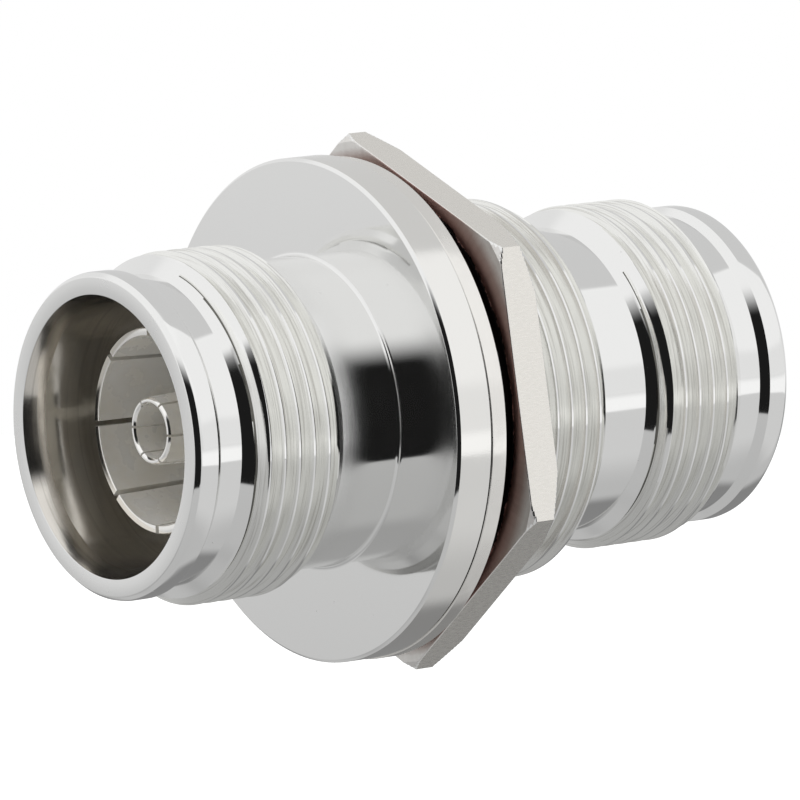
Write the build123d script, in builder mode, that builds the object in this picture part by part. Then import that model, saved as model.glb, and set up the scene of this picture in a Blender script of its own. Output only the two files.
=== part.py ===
"""Bulkhead coaxial adapter, jack to jack, with its panel seal, washer and nut.

The axis lies along Y and is the turning axis of every round piece. The origin is the centre
of the flange's rear face, which seats on the panel. The front jack points to -Y, the rear
jack and the panel thread to +Y, and +Z is up. Both ends of the adapter are the same.
"""
from build123d import *
import math
import os

# Main lengths, in millimetres, as distances from the front end along the axis
OVERALL_LENGTH = 41.65
FLANGE_FRONT = 14.05
FLANGE_REAR = 16.36

# Coupling end: a plain lip, a pilot and the coupling thread, the same at both ends
COUPLING_THREAD_DIAMETER = 19.94
THREAD_START = 4.35
THREAD_END = 9.05
NECK_STEP = 1.13
PILOT_END = 3.22
LIP_STEP = 0.41
LIP_EDGE_HEIGHT = 0.25
LIP_EDGE_LENGTH = 0.5
LIP_EDGE_BULGE_AT = 0.1
LIP_EDGE_BULGE_DROP = 0.105
LIP_END = 1.43
LIP_FLANK_END = 1.85
LIP_FLANK_SAG = 0.06

# Bore of each coupling end, with its lead-in
NECK_WALL = 1.24
MOUTH_FLARE = 0.4
LEAD_IN_LENGTH = 1.27

# Flange
FLANGE_OVERHANG = 3.42
FLANGE_FRONT_CHAMFER = 0.17
FLANGE_REAR_CHAMFER = 0.08
FLANGE_FILLET = 0.25

# Panel thread behind the flange, with the undercut where the threading tool runs out
PANEL_THREAD_STEP = 1.0
REAR_REACH = 14.13
PANEL_END_CHAMFER = 0.7
UNDERCUT_DEPTH = 0.72
UNDERCUT_WIDTH = 1.0

# Ring groove in the flange's rear face and the seal squashed flush into it
SEAL_SHIFT = 0.29
SEAL_GROOVE_WIDTH = 1.9
SEAL_GROOVE_DEPTH = 1.1
SEAL_SIDE_GAP = 0.1
SEAL_EDGE_RADIUS = 0.4

# Coaxial line and the two insulating beads that carry the centre conductor
BEAD_SHELF = 1.4
BEAD_OVERLAP = 1.2
ROD_LENGTH = 7.65
BEAD_LENGTH = 3.0
CONDUCTOR_RATIO = 0.43
BEAD_BORE_STEP = 0.35
BEAD_CHAMFER = 0.15

# Slotted outer contact
BASKET_TIP = 3.25
BASKET_TIP_WALL = 0.85
BASKET_WAIST_WALL = 0.65
BASKET_TIP_LENGTH = 1.5
BASKET_BASE_LENGTH = 2.5
BASKET_TIP_CHAMFER = 0.2
BASKET_ROOT_FILLET = 0.4
BASKET_SLOTS = 8
BASKET_SLOT_WIDTH = 0.34
BASKET_SLOT_STOP = 1.0
BASKET_SLOT_ANGLE = 4.0

# Centre contact: a slotted socket, closed in at its tip
SOCKET_TIP = 3.32
SOCKET_TIP_WALL = 0.39
SOCKET_WALL = 0.62
SOCKET_BORE_DEPTH = 6.5
SOCKET_TIP_CHAMFER = 0.12
DRILL_POINT_ANGLE = 118.0
SOCKET_SLOTS = 6
SOCKET_SLOT_WIDTH = 0.16
SOCKET_SLOT_END = 8.5
SOCKET_SLOT_ANGLE = 0.0
SPIGOT_STEP = 0.55
SPIGOT_LENGTH = 3.0
SPIGOT_CHAMFER = 0.2
SPIGOT_HOLE_SPARE = 0.3

# Washer and nut
WASHER_UNDER_FLANGE = 0.08
WASHER_BORE_PLAY = 0.26
WASHER_THICKNESS = 1.0
WASHER_EDGE_CHAMFER = 0.07
NUT_WALL = 2.38
NUT_HEX_LENGTH = 2.18
NUT_COLLAR_WALL = 1.83
NUT_COLLAR_LENGTH = 1.55
NUT_CORNER_ANGLE = 30.0
NUT_FRONT_CORNER_CUT = 0.47
NUT_REAR_CORNER_CUT = 1.22
NUT_BORE_CHAMFER = 0.35
NUT_TURN = 12.2
NUT_RUNNING_CLEARANCE = 0.04
FACE_GAP = 0.05

# Radii that follow from the coupling thread's
thread_radius = COUPLING_THREAD_DIAMETER / 2
neck_radius = thread_radius - NECK_STEP
lip_radius = neck_radius + LIP_STEP
bore_radius = neck_radius - NECK_WALL
bead_radius = bore_radius - BEAD_SHELF
line_radius = bead_radius - BEAD_OVERLAP
conductor_radius = line_radius * CONDUCTOR_RATIO
bead_bore_radius = conductor_radius - BEAD_BORE_STEP
spigot_radius = bead_bore_radius - SPIGOT_STEP
panel_thread_radius = thread_radius + PANEL_THREAD_STEP
undercut_radius = panel_thread_radius - UNDERCUT_DEPTH
flange_radius = panel_thread_radius + FLANGE_OVERHANG
seal_mean_radius = (flange_radius + undercut_radius) / 2 + SEAL_SHIFT

# Places along the axis that follow from the lengths, as distances from the front end
panel_shoulder = OVERALL_LENGTH - REAR_REACH
panel_thread_end = panel_shoulder - PANEL_END_CHAMFER
bead_rear = (OVERALL_LENGTH - ROD_LENGTH) / 2
bore_floor = bead_rear - BEAD_LENGTH
basket_base = bore_floor - BASKET_BASE_LENGTH
basket_slot_end = basket_base - BASKET_SLOT_STOP

# Every profile is drawn as (distance along Y, radius) in the plane x = 0, y to the right, z up
PROFILE = Plane(origin=(0, 0, 0), x_dir=(0, 1, 0), z_dir=(1, 0, 0))
TURN_AXIS = Axis.Y


def along(distance):
    """Y coordinate of a distance from the front end."""
    return distance - FLANGE_REAR


def from_front(distance, radius):
    """Profile point at a distance from the front end."""
    return (along(distance), radius)


def from_rear(distance, radius):
    """Profile point at a distance from the rear end."""
    return (along(OVERALL_LENGTH - distance), radius)


def draw_coupling_end(place):
    """Outer and inner outline of one coupling end, from the bore's floor round to the neck."""
    lip_face_radius = lip_radius - LIP_EDGE_HEIGHT
    flank_middle = (LIP_END + LIP_FLANK_END) / 2 - LIP_FLANK_SAG
    Polyline(
        place(bore_floor, bore_radius),
        place(LEAD_IN_LENGTH, bore_radius),
        place(0, bore_radius + MOUTH_FLARE),
        place(0, lip_face_radius),
    )
    ThreePointArc(
        place(0, lip_face_radius),
        place(LIP_EDGE_BULGE_AT, lip_radius - LIP_EDGE_BULGE_DROP),
        place(LIP_EDGE_LENGTH, lip_radius),
    )
    Line(place(LIP_EDGE_LENGTH, lip_radius), place(LIP_END, lip_radius))
    ThreePointArc(
        place(LIP_END, lip_radius),
        place(flank_middle, (lip_radius + neck_radius) / 2 - LIP_FLANK_SAG),
        place(LIP_FLANK_END, neck_radius),
    )
    Polyline(
        place(LIP_FLANK_END, neck_radius),
        place(PILOT_END, neck_radius),
        place(THREAD_START, thread_radius),
        place(THREAD_END, thread_radius),
        place(THREAD_END + NECK_STEP, neck_radius),
    )


# Body: one turned piece from end to end
neck_start = THREAD_END + NECK_STEP
groove_inner = seal_mean_radius - SEAL_GROOVE_WIDTH / 2
groove_outer = seal_mean_radius + SEAL_GROOVE_WIDTH / 2
undercut_end = FLANGE_REAR + UNDERCUT_WIDTH
groove_floor = FLANGE_REAR - SEAL_GROOVE_DEPTH

with BuildPart() as body:
    with BuildSketch(PROFILE):
        with BuildLine():
            draw_coupling_end(from_front)
            Line(from_front(neck_start, neck_radius), from_front(FLANGE_FRONT - FLANGE_FILLET, neck_radius))
            RadiusArc(
                from_front(FLANGE_FRONT - FLANGE_FILLET, neck_radius),
                from_front(FLANGE_FRONT, neck_radius + FLANGE_FILLET),
                FLANGE_FILLET,
            )
            Polyline(
                from_front(FLANGE_FRONT, neck_radius + FLANGE_FILLET),
                from_front(FLANGE_FRONT, flange_radius - FLANGE_FRONT_CHAMFER),
                from_front(FLANGE_FRONT + FLANGE_FRONT_CHAMFER, flange_radius),
                from_front(FLANGE_REAR - FLANGE_REAR_CHAMFER, flange_radius),
                from_front(FLANGE_REAR, flange_radius - FLANGE_REAR_CHAMFER),
                from_front(FLANGE_REAR, groove_outer),
                from_front(groove_floor, groove_outer),
                from_front(groove_floor, groove_inner),
                from_front(FLANGE_REAR, groove_inner),
                from_front(FLANGE_REAR, undercut_radius),
                from_front(undercut_end, undercut_radius),
                from_front(undercut_end + UNDERCUT_DEPTH, panel_thread_radius),
                from_front(panel_thread_end, panel_thread_radius),
                from_front(panel_shoulder, panel_thread_radius - PANEL_END_CHAMFER),
                from_front(panel_shoulder, neck_radius),
                from_rear(neck_start, neck_radius),
            )
            draw_coupling_end(from_rear)
            Polyline(
                from_rear(bore_floor, bore_radius),
                from_rear(bore_floor, bead_radius),
                from_rear(bead_rear, bead_radius),
                from_rear(bead_rear, line_radius),
                from_front(bead_rear, line_radius),
                from_front(bead_rear, bead_radius),
                from_front(bore_floor, bead_radius),
                from_front(bore_floor, bore_radius),
            )
        make_face()
    revolve(axis=TURN_AXIS)


def draw_slots(count, width, first_angle, reach):
    """Evenly spaced radial slots across the axis, the first one at an angle from +X towards +Z."""
    with PolarLocations(reach / 2, count, first_angle):
        Rectangle(reach, width)


def draw_basket(place):
    """Half section of a slotted outer contact: press ring, waist and thicker tip."""
    waist = line_radius + BASKET_WAIST_WALL
    tip = line_radius + BASKET_TIP_WALL
    step = BASKET_TIP_WALL - BASKET_WAIST_WALL
    Polyline(
        place(bore_floor, line_radius),
        place(BASKET_TIP + BASKET_TIP_CHAMFER, line_radius),
        place(BASKET_TIP, line_radius + BASKET_TIP_CHAMFER),
        place(BASKET_TIP, tip - BASKET_TIP_CHAMFER / 2),
        place(BASKET_TIP + BASKET_TIP_CHAMFER / 2, tip),
        place(BASKET_TIP + BASKET_TIP_LENGTH, tip),
        place(BASKET_TIP + BASKET_TIP_LENGTH + 2 * step, waist),
        place(basket_base - BASKET_ROOT_FILLET, waist),
        place(basket_base, waist + BASKET_ROOT_FILLET),
        place(basket_base, bore_radius),
        place(bore_floor, bore_radius),
        close=True,
    )


def draw_contact(place):
    """Half section of a centre contact: slotted socket, bead seat and spigot."""
    socket_bore = conductor_radius - SOCKET_WALL
    tip = socket_bore + SOCKET_TIP_WALL
    floor = SOCKET_TIP + SOCKET_BORE_DEPTH
    point = floor + socket_bore / math.tan(math.radians(DRILL_POINT_ANGLE / 2))
    spigot_end = bead_rear + SPIGOT_LENGTH
    Polyline(
        place(point, 0),
        place(floor, socket_bore),
        place(SOCKET_TIP + SOCKET_TIP_CHAMFER, socket_bore),
        place(SOCKET_TIP, socket_bore + SOCKET_TIP_CHAMFER),
        place(SOCKET_TIP, tip - SOCKET_TIP_CHAMFER),
        place(SOCKET_TIP + SOCKET_TIP_CHAMFER, tip),
        place(SOCKET_SLOT_END, conductor_radius),
        place(bore_floor, conductor_radius),
        place(bore_floor, bead_bore_radius),
        place(bead_rear, bead_bore_radius),
        place(bead_rear, spigot_radius),
        place(spigot_end - SPIGOT_CHAMFER, spigot_radius),
        place(spigot_end, spigot_radius - SPIGOT_CHAMFER),
        place(spigot_end, 0),
        close=True,
    )


def draw_bead(place):
    """Half section of an insulating bead."""
    Polyline(
        place(bore_floor, bead_bore_radius),
        place(bore_floor, bead_radius - BEAD_CHAMFER),
        place(bore_floor + BEAD_CHAMFER, bead_radius),
        place(bead_rear - BEAD_CHAMFER, bead_radius),
        place(bead_rear, bead_radius - BEAD_CHAMFER),
        place(bead_rear, bead_bore_radius),
        close=True,
    )


# Front outer contact, pressed to the floor of the front bore
with BuildPart() as front_outer_contact:
    with BuildSketch(PROFILE):
        with BuildLine():
            draw_basket(from_front)
        make_face()
    revolve(axis=TURN_AXIS)
    with BuildSketch(Plane.XZ.offset(-along(basket_slot_end))):
        draw_slots(BASKET_SLOTS, BASKET_SLOT_WIDTH, BASKET_SLOT_ANGLE, bore_radius)
    extrude(amount=basket_slot_end, mode=Mode.SUBTRACT)

# Rear outer contact, the same piece turned end for end
with BuildPart() as rear_outer_contact:
    with BuildSketch(PROFILE):
        with BuildLine():
            draw_basket(from_rear)
        make_face()
    revolve(axis=TURN_AXIS)
    with BuildSketch(Plane.XZ.offset(-along(OVERALL_LENGTH - basket_slot_end))):
        draw_slots(BASKET_SLOTS, BASKET_SLOT_WIDTH, BASKET_SLOT_ANGLE, bore_radius)
    extrude(amount=-basket_slot_end, mode=Mode.SUBTRACT)

# Front centre contact
with BuildPart() as front_centre_contact:
    with BuildSketch(PROFILE):
        with BuildLine():
            draw_contact(from_front)
        make_face()
    revolve(axis=TURN_AXIS)
    with BuildSketch(Plane.XZ.offset(-along(SOCKET_SLOT_END))):
        draw_slots(SOCKET_SLOTS, SOCKET_SLOT_WIDTH, SOCKET_SLOT_ANGLE, line_radius)
    extrude(amount=SOCKET_SLOT_END, mode=Mode.SUBTRACT)

# Rear centre contact
with BuildPart() as rear_centre_contact:
    with BuildSketch(PROFILE):
        with BuildLine():
            draw_contact(from_rear)
        make_face()
    revolve(axis=TURN_AXIS)
    with BuildSketch(Plane.XZ.offset(-along(OVERALL_LENGTH - SOCKET_SLOT_END))):
        draw_slots(SOCKET_SLOTS, SOCKET_SLOT_WIDTH, SOCKET_SLOT_ANGLE, line_radius)
    extrude(amount=-SOCKET_SLOT_END, mode=Mode.SUBTRACT)

# Centre rod between the beads, drilled at both ends for the contacts' spigots
hole_floor = bead_rear + SPIGOT_LENGTH + SPIGOT_HOLE_SPARE
with BuildPart() as centre_rod:
    with BuildSketch(PROFILE):
        with BuildLine():
            Polyline(
                from_front(bead_rear, conductor_radius),
                from_rear(bead_rear, conductor_radius),
                from_rear(bead_rear, spigot_radius),
                from_rear(hole_floor, spigot_radius),
                from_rear(hole_floor, 0),
                from_front(hole_floor, 0),
                from_front(hole_floor, spigot_radius),
                from_front(bead_rear, spigot_radius),
                close=True,
            )
        make_face()
    revolve(axis=TURN_AXIS)

# Front and rear insulating beads
with BuildPart() as front_bead:
    with BuildSketch(PROFILE):
        with BuildLine():
            draw_bead(from_front)
        make_face()
    revolve(axis=TURN_AXIS)

with BuildPart() as rear_bead:
    with BuildSketch(PROFILE):
        with BuildLine():
            draw_bead(from_rear)
        make_face()
    revolve(axis=TURN_AXIS)

# Panel seal, held squashed in the flange's groove and flush with the seat
seal_width = SEAL_GROOVE_WIDTH - 2 * SEAL_SIDE_GAP
with BuildPart() as panel_seal:
    with BuildSketch(PROFILE):
        with Locations(from_front(FLANGE_REAR - SEAL_GROOVE_DEPTH / 2, seal_mean_radius)):
            RectangleRounded(SEAL_GROOVE_DEPTH, seal_width, SEAL_EDGE_RADIUS)
    revolve(axis=TURN_AXIS)

# Flat washer
washer_front = FLANGE_REAR + FACE_GAP
washer_rear = washer_front + WASHER_THICKNESS
with BuildPart() as flat_washer:
    with BuildSketch(Plane.XZ.offset(-along(washer_front))):
        Circle(flange_radius - WASHER_UNDER_FLANGE / 2)
        Circle(panel_thread_radius + WASHER_BORE_PLAY / 2, mode=Mode.SUBTRACT)
    extrude(amount=-WASHER_THICKNESS)
    chamfer(flat_washer.edges().filter_by(GeomType.CIRCLE), WASHER_EDGE_CHAMFER)

# Hexagon nut with a round collar towards the washer
nut_front = washer_rear + FACE_GAP
hex_front = nut_front + NUT_COLLAR_LENGTH
hex_rear = hex_front + NUT_HEX_LENGTH
nut_bore = panel_thread_radius + NUT_RUNNING_CLEARANCE
flat_radius = panel_thread_radius + NUT_WALL
collar_radius = panel_thread_radius + NUT_COLLAR_WALL
corner_radius = flat_radius / math.cos(math.pi / 6)
corner_slope = math.tan(math.radians(NUT_CORNER_ANGLE))
front_chamfer = NUT_FRONT_CORNER_CUT * corner_slope
rear_chamfer = NUT_REAR_CORNER_CUT * corner_slope

with BuildPart() as hex_nut:
    with BuildSketch(Plane.XZ.offset(-along(nut_front))):
        RegularPolygon(flat_radius, 6, major_radius=False, rotation=90 + NUT_TURN)
    extrude(amount=-(NUT_COLLAR_LENGTH + NUT_HEX_LENGTH))
    with BuildSketch(PROFILE):
        with BuildLine():
            Polyline(
                from_front(nut_front, nut_bore + NUT_BORE_CHAMFER),
                from_front(nut_front, collar_radius),
                from_front(hex_front, collar_radius),
                from_front(hex_front, corner_radius - NUT_FRONT_CORNER_CUT),
                from_front(hex_front + front_chamfer, corner_radius),
                from_front(hex_rear - rear_chamfer, corner_radius),
                from_front(hex_rear, corner_radius - NUT_REAR_CORNER_CUT),
                from_front(hex_rear, nut_bore + NUT_BORE_CHAMFER),
                from_front(hex_rear - NUT_BORE_CHAMFER, nut_bore),
                from_front(nut_front + NUT_BORE_CHAMFER, nut_bore),
                close=True,
            )
        make_face()
    revolve(axis=TURN_AXIS, mode=Mode.INTERSECT)

pieces = {
    "body": body,
    "front_outer_contact": front_outer_contact,
    "rear_outer_contact": rear_outer_contact,
    "front_centre_contact": front_centre_contact,
    "rear_centre_contact": rear_centre_contact,
    "centre_rod": centre_rod,
    "front_bead": front_bead,
    "rear_bead": rear_bead,
    "panel_seal": panel_seal,
    "flat_washer": flat_washer,
    "hex_nut": hex_nut,
}

os.makedirs("parts", exist_ok=True)
for name, piece in pieces.items():
    piece.part.label = name
    export_step(piece.part, f"parts/{name}.step")
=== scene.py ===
import logging
import math
from dataclasses import dataclass, field
from enum import Enum
from typing import Callable, Optional, Sequence

import bmesh
import bpy
from mathutils import Matrix, Vector
from mathutils.kdtree import KDTree


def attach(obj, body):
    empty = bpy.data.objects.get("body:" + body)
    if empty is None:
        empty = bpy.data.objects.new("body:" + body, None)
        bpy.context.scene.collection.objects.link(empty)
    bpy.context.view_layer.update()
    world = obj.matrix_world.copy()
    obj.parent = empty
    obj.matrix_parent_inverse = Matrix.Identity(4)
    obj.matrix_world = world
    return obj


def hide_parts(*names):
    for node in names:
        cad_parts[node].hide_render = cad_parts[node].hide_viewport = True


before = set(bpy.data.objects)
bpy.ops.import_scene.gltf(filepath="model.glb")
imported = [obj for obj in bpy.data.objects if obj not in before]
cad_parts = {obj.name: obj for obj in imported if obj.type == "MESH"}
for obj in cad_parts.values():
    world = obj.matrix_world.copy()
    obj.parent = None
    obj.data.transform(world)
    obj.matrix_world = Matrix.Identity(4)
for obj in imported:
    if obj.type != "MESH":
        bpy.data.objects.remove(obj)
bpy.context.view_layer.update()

MM = 0.001
TURN = 2 * math.pi
COLUMNS = 160
AXIS = Vector((0, 1, 0))
# In millimetres: less than this is no distance
HAIR = 0.001
# In millimetres: faces this near to a blank's outline weren't reached by the thread tool
UNCUT = 0.012
# In millimetres: vertices of two thread turns this near to each other are one
TURN_WELD = 0.004
# Corners of an outline that turn by less than this aren't rounded
LEAST_CORNER = math.radians(14)
# Share of an outline's run that one rounded corner may take
CORNER_SHARE = 0.4
# The ranges that most and nearly all of a noise's values lie in
NOISE_MIDDLE = (0.3, 0.7)
NOISE_WHOLE = (0.2, 0.8)
LEAST_ROUGHNESS = 0.02
Point = tuple[float, float]

log = logging.getLogger("adapter")


class Surface(Enum):
    """Which of a piece's material slots a face takes.

    A contact has no thread, so its tips take the slot that a thread has elsewhere.
    """

    MAIN = 0
    THREAD = 1
    TIP = 1
    FACE = 2
    RIM = 3
    ROOT = 4
    BORE = 5


def linear_colour(code: str) -> tuple[float, float, float, float]:
    """Turn an sRGB hex colour into linear light.

    Args:
        code: Six hex digits after a hash sign.

    Returns:
        Red, green, blue and an alpha of 1.
    """
    parts = [int(code[i:i + 2], 16) / 255 for i in (1, 3, 5)]
    light = [p / 12.92 if p <= 0.04045 else ((p + 0.055) / 1.055) ** 2.4 for p in parts]
    return (*light, 1.0)


def add_node(
    tree: bpy.types.NodeTree, kind: str, feeds: Optional[dict] = None, **settings,
) -> bpy.types.Node:
    """Add one node with its settings, input values and links.

    Args:
        tree: The node tree that gets the node.
        kind: The node's Blender type name.
        feeds: Input name or number to a value, or to the output socket that feeds it.
        **settings: Properties of the node itself.

    Returns:
        The new node.
    """
    node = tree.nodes.new(kind)
    for name, value in settings.items():
        setattr(node, name, value)
    for name, value in (feeds or {}).items():
        if isinstance(value, bpy.types.NodeSocket):
            tree.links.new(value, node.inputs[name])
        else:
            node.inputs[name].default_value = value
    return node


def three_point_arc(start: Point, middle: Point, end: Point, pieces: int) -> list[Point]:
    """Points on the arc from start through middle to end.

    Args:
        start: First point.
        middle: A point that the arc passes.
        end: Last point.
        pieces: How many chords the arc gets.

    Returns:
        The points from start to end.
    """
    (ax, ay), (bx, by), (cx, cy) = start, middle, end
    det = 2 * (ax * (by - cy) + bx * (cy - ay) + cx * (ay - by))
    aa, bb, cc = ax * ax + ay * ay, bx * bx + by * by, cx * cx + cy * cy
    ux = (aa * (by - cy) + bb * (cy - ay) + cc * (ay - by)) / det
    uy = (aa * (cx - bx) + bb * (ax - cx) + cc * (bx - ax)) / det
    radius = math.hypot(ax - ux, ay - uy)
    first = math.atan2(ay - uy, ax - ux)
    sweep = math.remainder(math.atan2(cy - uy, cx - ux) - first, TURN)
    angles = [first + sweep * i / pieces for i in range(pieces + 1)]
    return [(ux + radius * math.cos(a), uy + radius * math.sin(a)) for a in angles]


def soften(points: Sequence[Point], radius: float, closed: bool = False, pieces: int = 3) -> list[Point]:
    """Round the sharp corners of an outline, as deburring leaves them.

    Args:
        points: The outline.
        radius: Largest radius that a corner gets.
        closed: Whether the outline is a loop.
        pieces: Chords per rounded corner.

    Returns:
        The outline with its corners rounded and its ends kept.
    """
    count = len(points)
    result = []
    for i, point in enumerate(points):
        if not closed and i in (0, count - 1):
            result.append(point)
            continue
        here = Vector(point)
        before = Vector(points[i - 1]) - here
        after = Vector(points[(i + 1) % count]) - here
        turn = math.pi - before.angle(after)
        if turn < LEAST_CORNER:
            result.append(point)
            continue
        room = CORNER_SHARE * min(before.length, after.length)
        reach = min(radius * math.tan(turn / 2), room)
        first = here + before.normalized() * reach
        last = here + after.normalized() * reach
        bulge = reach / math.tan(turn / 2) * (1 / math.cos(turn / 2) - 1)
        middle = here + (before.normalized() + after.normalized()).normalized() * bulge
        result.extend(three_point_arc(tuple(first), tuple(middle), tuple(last), pieces))
    return result


def turn_outline(
    bm: bmesh.types.BMesh,
    points: Sequence[Point],
    closed: bool = False,
    surface: Surface = Surface.MAIN,
    start: float = 0.0,
    sweep: float = TURN,
    steps: int = COLUMNS,
) -> list[bmesh.types.BMFace]:
    """Turn an outline of (along, radius) points round the Y axis.

    Args:
        bm: The mesh that gets the turned surface.
        points: The outline.
        closed: Whether the outline is a loop.
        surface: Material slot of the new faces.
        start: Angle from +Z towards +X where the turning starts.
        sweep: How far it turns.
        steps: Columns round the sweep.

    Returns:
        The new faces.
    """
    old = set(bm.faces)
    verts = [bm.verts.new((0, along, radius)) for along, radius in points]
    edges = [bm.edges.new(pair) for pair in zip(verts, verts[1:])]
    if closed:
        edges.append(bm.edges.new((verts[-1], verts[0])))
    if start:
        bmesh.ops.rotate(bm, verts=verts, cent=(0, 0, 0), matrix=Matrix.Rotation(start, 3, "Y"))
    bmesh.ops.spin(
        bm, geom=verts + edges, cent=(0, 0, 0), axis=AXIS, dvec=(0, 0, 0), angle=sweep,
        steps=steps, use_merge=math.isclose(sweep, TURN), use_duplicate=False,
    )
    faces = [f for f in bm.faces if f not in old]
    for face in faces:
        face.material_index = surface.value
    return faces


@dataclass(frozen=True)
class ThreadForm:
    """A right-hand 60 degree thread, in millimetres."""

    pitch: float = 1.0
    crest_flat: float = 0.125
    depth: float = 0.65
    flank_pieces: int = 5
    root_sag: float = 0.02

    def outline(self, crest: float, outward: bool = True) -> list[Point]:
        """One pitch of the thread's section, from root middle to root middle.

        Args:
            crest: Crest radius.
            outward: True for a bolt's thread, False for a nut's.

        Returns:
            Points of distance from the crest's middle and radius.
        """
        side = 1 if outward else -1
        half_crest = self.crest_flat / 2
        half_root = half_crest + self.depth * math.tan(math.radians(30))
        flank = [
            (half_crest + (half_root - half_crest) * i / self.flank_pieces,
             crest - side * self.depth * i / self.flank_pieces)
            for i in range(self.flank_pieces + 1)
        ]
        middle = (self.pitch / 2, crest - side * (self.depth + self.root_sag))
        right = flank + [middle]
        left = [(-along, radius) for along, radius in reversed(right)]
        return left + right


def blank_radius(outline: Sequence[Point], along: float) -> float:
    """Radius of a turned blank at a place along the axis.

    Args:
        outline: The blank's (along, radius) points, in order.
        along: The place.

    Returns:
        The radius between the two nearest points.
    """
    for (a, ra), (b, rb) in zip(outline, outline[1:]):
        if along <= b:
            share = min(1.0, max(0.0, (along - a) / (b - a)))
            return ra + (rb - ra) * share
    return outline[-1][1]


def cut_thread(
    bm: bmesh.types.BMesh,
    form: ThreadForm,
    crest: float,
    crest_at: float,
    blank: Sequence[Point],
    outward: bool = True,
) -> None:
    """Cut a helical thread into a turned blank and join it to what the mesh already holds.

    The thread is swept as a helix past both ends, trimmed by planes at the blank's corners,
    and then kept to the blank's own radius, so its groove runs out across the end cones.

    Args:
        bm: The mesh that gets the thread.
        form: The thread's section.
        crest: Crest radius.
        crest_at: Place along the axis of a crest's middle, straight above the axis.
        blank: Outline of the blank from end to end.
        outward: True for a bolt's thread, False for a nut's.
    """
    first, last = blank[0][0], blank[-1][0]
    strip = bmesh.new()
    base = crest_at - math.ceil((crest_at - first) / form.pitch + 1.5) * form.pitch
    turns = math.ceil((last - base) / form.pitch + 0.5)
    section = form.outline(crest, outward)
    verts = [strip.verts.new((0, base + along, radius)) for along, radius in section]
    edges = [strip.edges.new(pair) for pair in zip(verts, verts[1:])]
    bmesh.ops.spin(
        strip, geom=verts + edges, cent=(0, 0, 0), axis=AXIS, dvec=(0, form.pitch / COLUMNS, 0),
        angle=TURN, steps=COLUMNS, use_merge=False, use_duplicate=False,
    )
    one_turn = strip.verts[:] + strip.edges[:] + strip.faces[:]
    for turn in range(1, turns):
        copied = bmesh.ops.duplicate(strip, geom=one_turn)["geom"]
        copied_verts = [part for part in copied if isinstance(part, bmesh.types.BMVert)]
        bmesh.ops.translate(strip, vec=(0, turn * form.pitch, 0), verts=copied_verts)
    bmesh.ops.remove_doubles(strip, verts=strip.verts, dist=TURN_WELD)
    for along, _ in blank:
        bmesh.ops.bisect_plane(
            strip, geom=strip.verts[:] + strip.edges[:] + strip.faces[:], dist=1e-5,
            plane_co=(0, along, 0), plane_no=AXIS, clear_inner=along == first, clear_outer=along == last,
        )
    for vert in strip.verts:
        radius = math.hypot(vert.co.x, vert.co.z)
        limit = blank_radius(blank, vert.co.y)
        kept = min(radius, limit) if outward else max(radius, limit)
        vert.co.x *= kept / radius
        vert.co.z *= kept / radius
    for face in strip.faces:
        centre = face.calc_center_median()
        radius = math.hypot(centre.x, centre.z)
        if abs(blank_radius(blank, centre.y) - radius) <= UNCUT:
            face.material_index = Surface.MAIN.value
        # Faces deep in the groove take the root finish, whose dark grey is painted shade
        elif abs(crest - radius) > form.depth:
            face.material_index = Surface.ROOT.value
        else:
            face.material_index = Surface.THREAD.value
    sleeve = bpy.data.meshes.new("sleeve")
    strip.to_mesh(sleeve)
    strip.free()

    rims = {v for e in bm.edges if e.is_boundary for v in e.verts}
    finder = KDTree(len(rims))
    rim_verts = list(rims)
    for i, vert in enumerate(rim_verts):
        finder.insert(vert.co, i)
    finder.balance()
    old = set(bm.faces)
    bm.from_mesh(sleeve)
    bpy.data.meshes.remove(sleeve)
    edges = {e for f in bm.faces if f not in old for e in f.edges if e.is_boundary}
    joins = {}
    for vert in {v for e in edges for v in e.verts}:
        _, index, distance = finder.find(vert.co)
        if distance < TURN * crest / COLUMNS:
            joins[vert] = rim_verts[index]
    bmesh.ops.weld_verts(bm, targetmap=joins)


def make_piece(
    bm: bmesh.types.BMesh,
    name: str,
    body: str,
    nodes: Sequence[str],
    materials: Sequence[bpy.types.Material],
    sharp_from: float = 38.0,
) -> bpy.types.Object:
    """Turn a finished bmesh in millimetres into a piece of the object.

    Args:
        bm: The mesh, which is freed.
        name: The piece's name.
        body: The CAD body that it rides on.
        nodes: The CAD nodes that it stands for.
        materials: Blender materials, in the order of Surface.
        sharp_from: Edges that turn by more degrees than this stay sharp.

    Returns:
        The new object.
    """
    bmesh.ops.scale(bm, vec=(MM, MM, MM), verts=bm.verts)
    bmesh.ops.recalc_face_normals(bm, faces=bm.faces)
    mesh = bpy.data.meshes.new(name)
    bm.to_mesh(mesh)
    bm.free()
    mesh.shade_smooth()
    mesh.set_sharp_from_angle(angle=math.radians(sharp_from))
    piece = bpy.data.objects.new(name, mesh)
    bpy.context.scene.collection.objects.link(piece)
    for material in materials:
        mesh.materials.append(material)
    even = piece.modifiers.new("even_normals", "WEIGHTED_NORMAL")
    even.keep_sharp = True
    even.weight = 90
    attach(piece, body)
    if nodes:
        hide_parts(*nodes)
    log.info("built %s with %d faces", name, len(mesh.polygons))
    return piece


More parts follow.
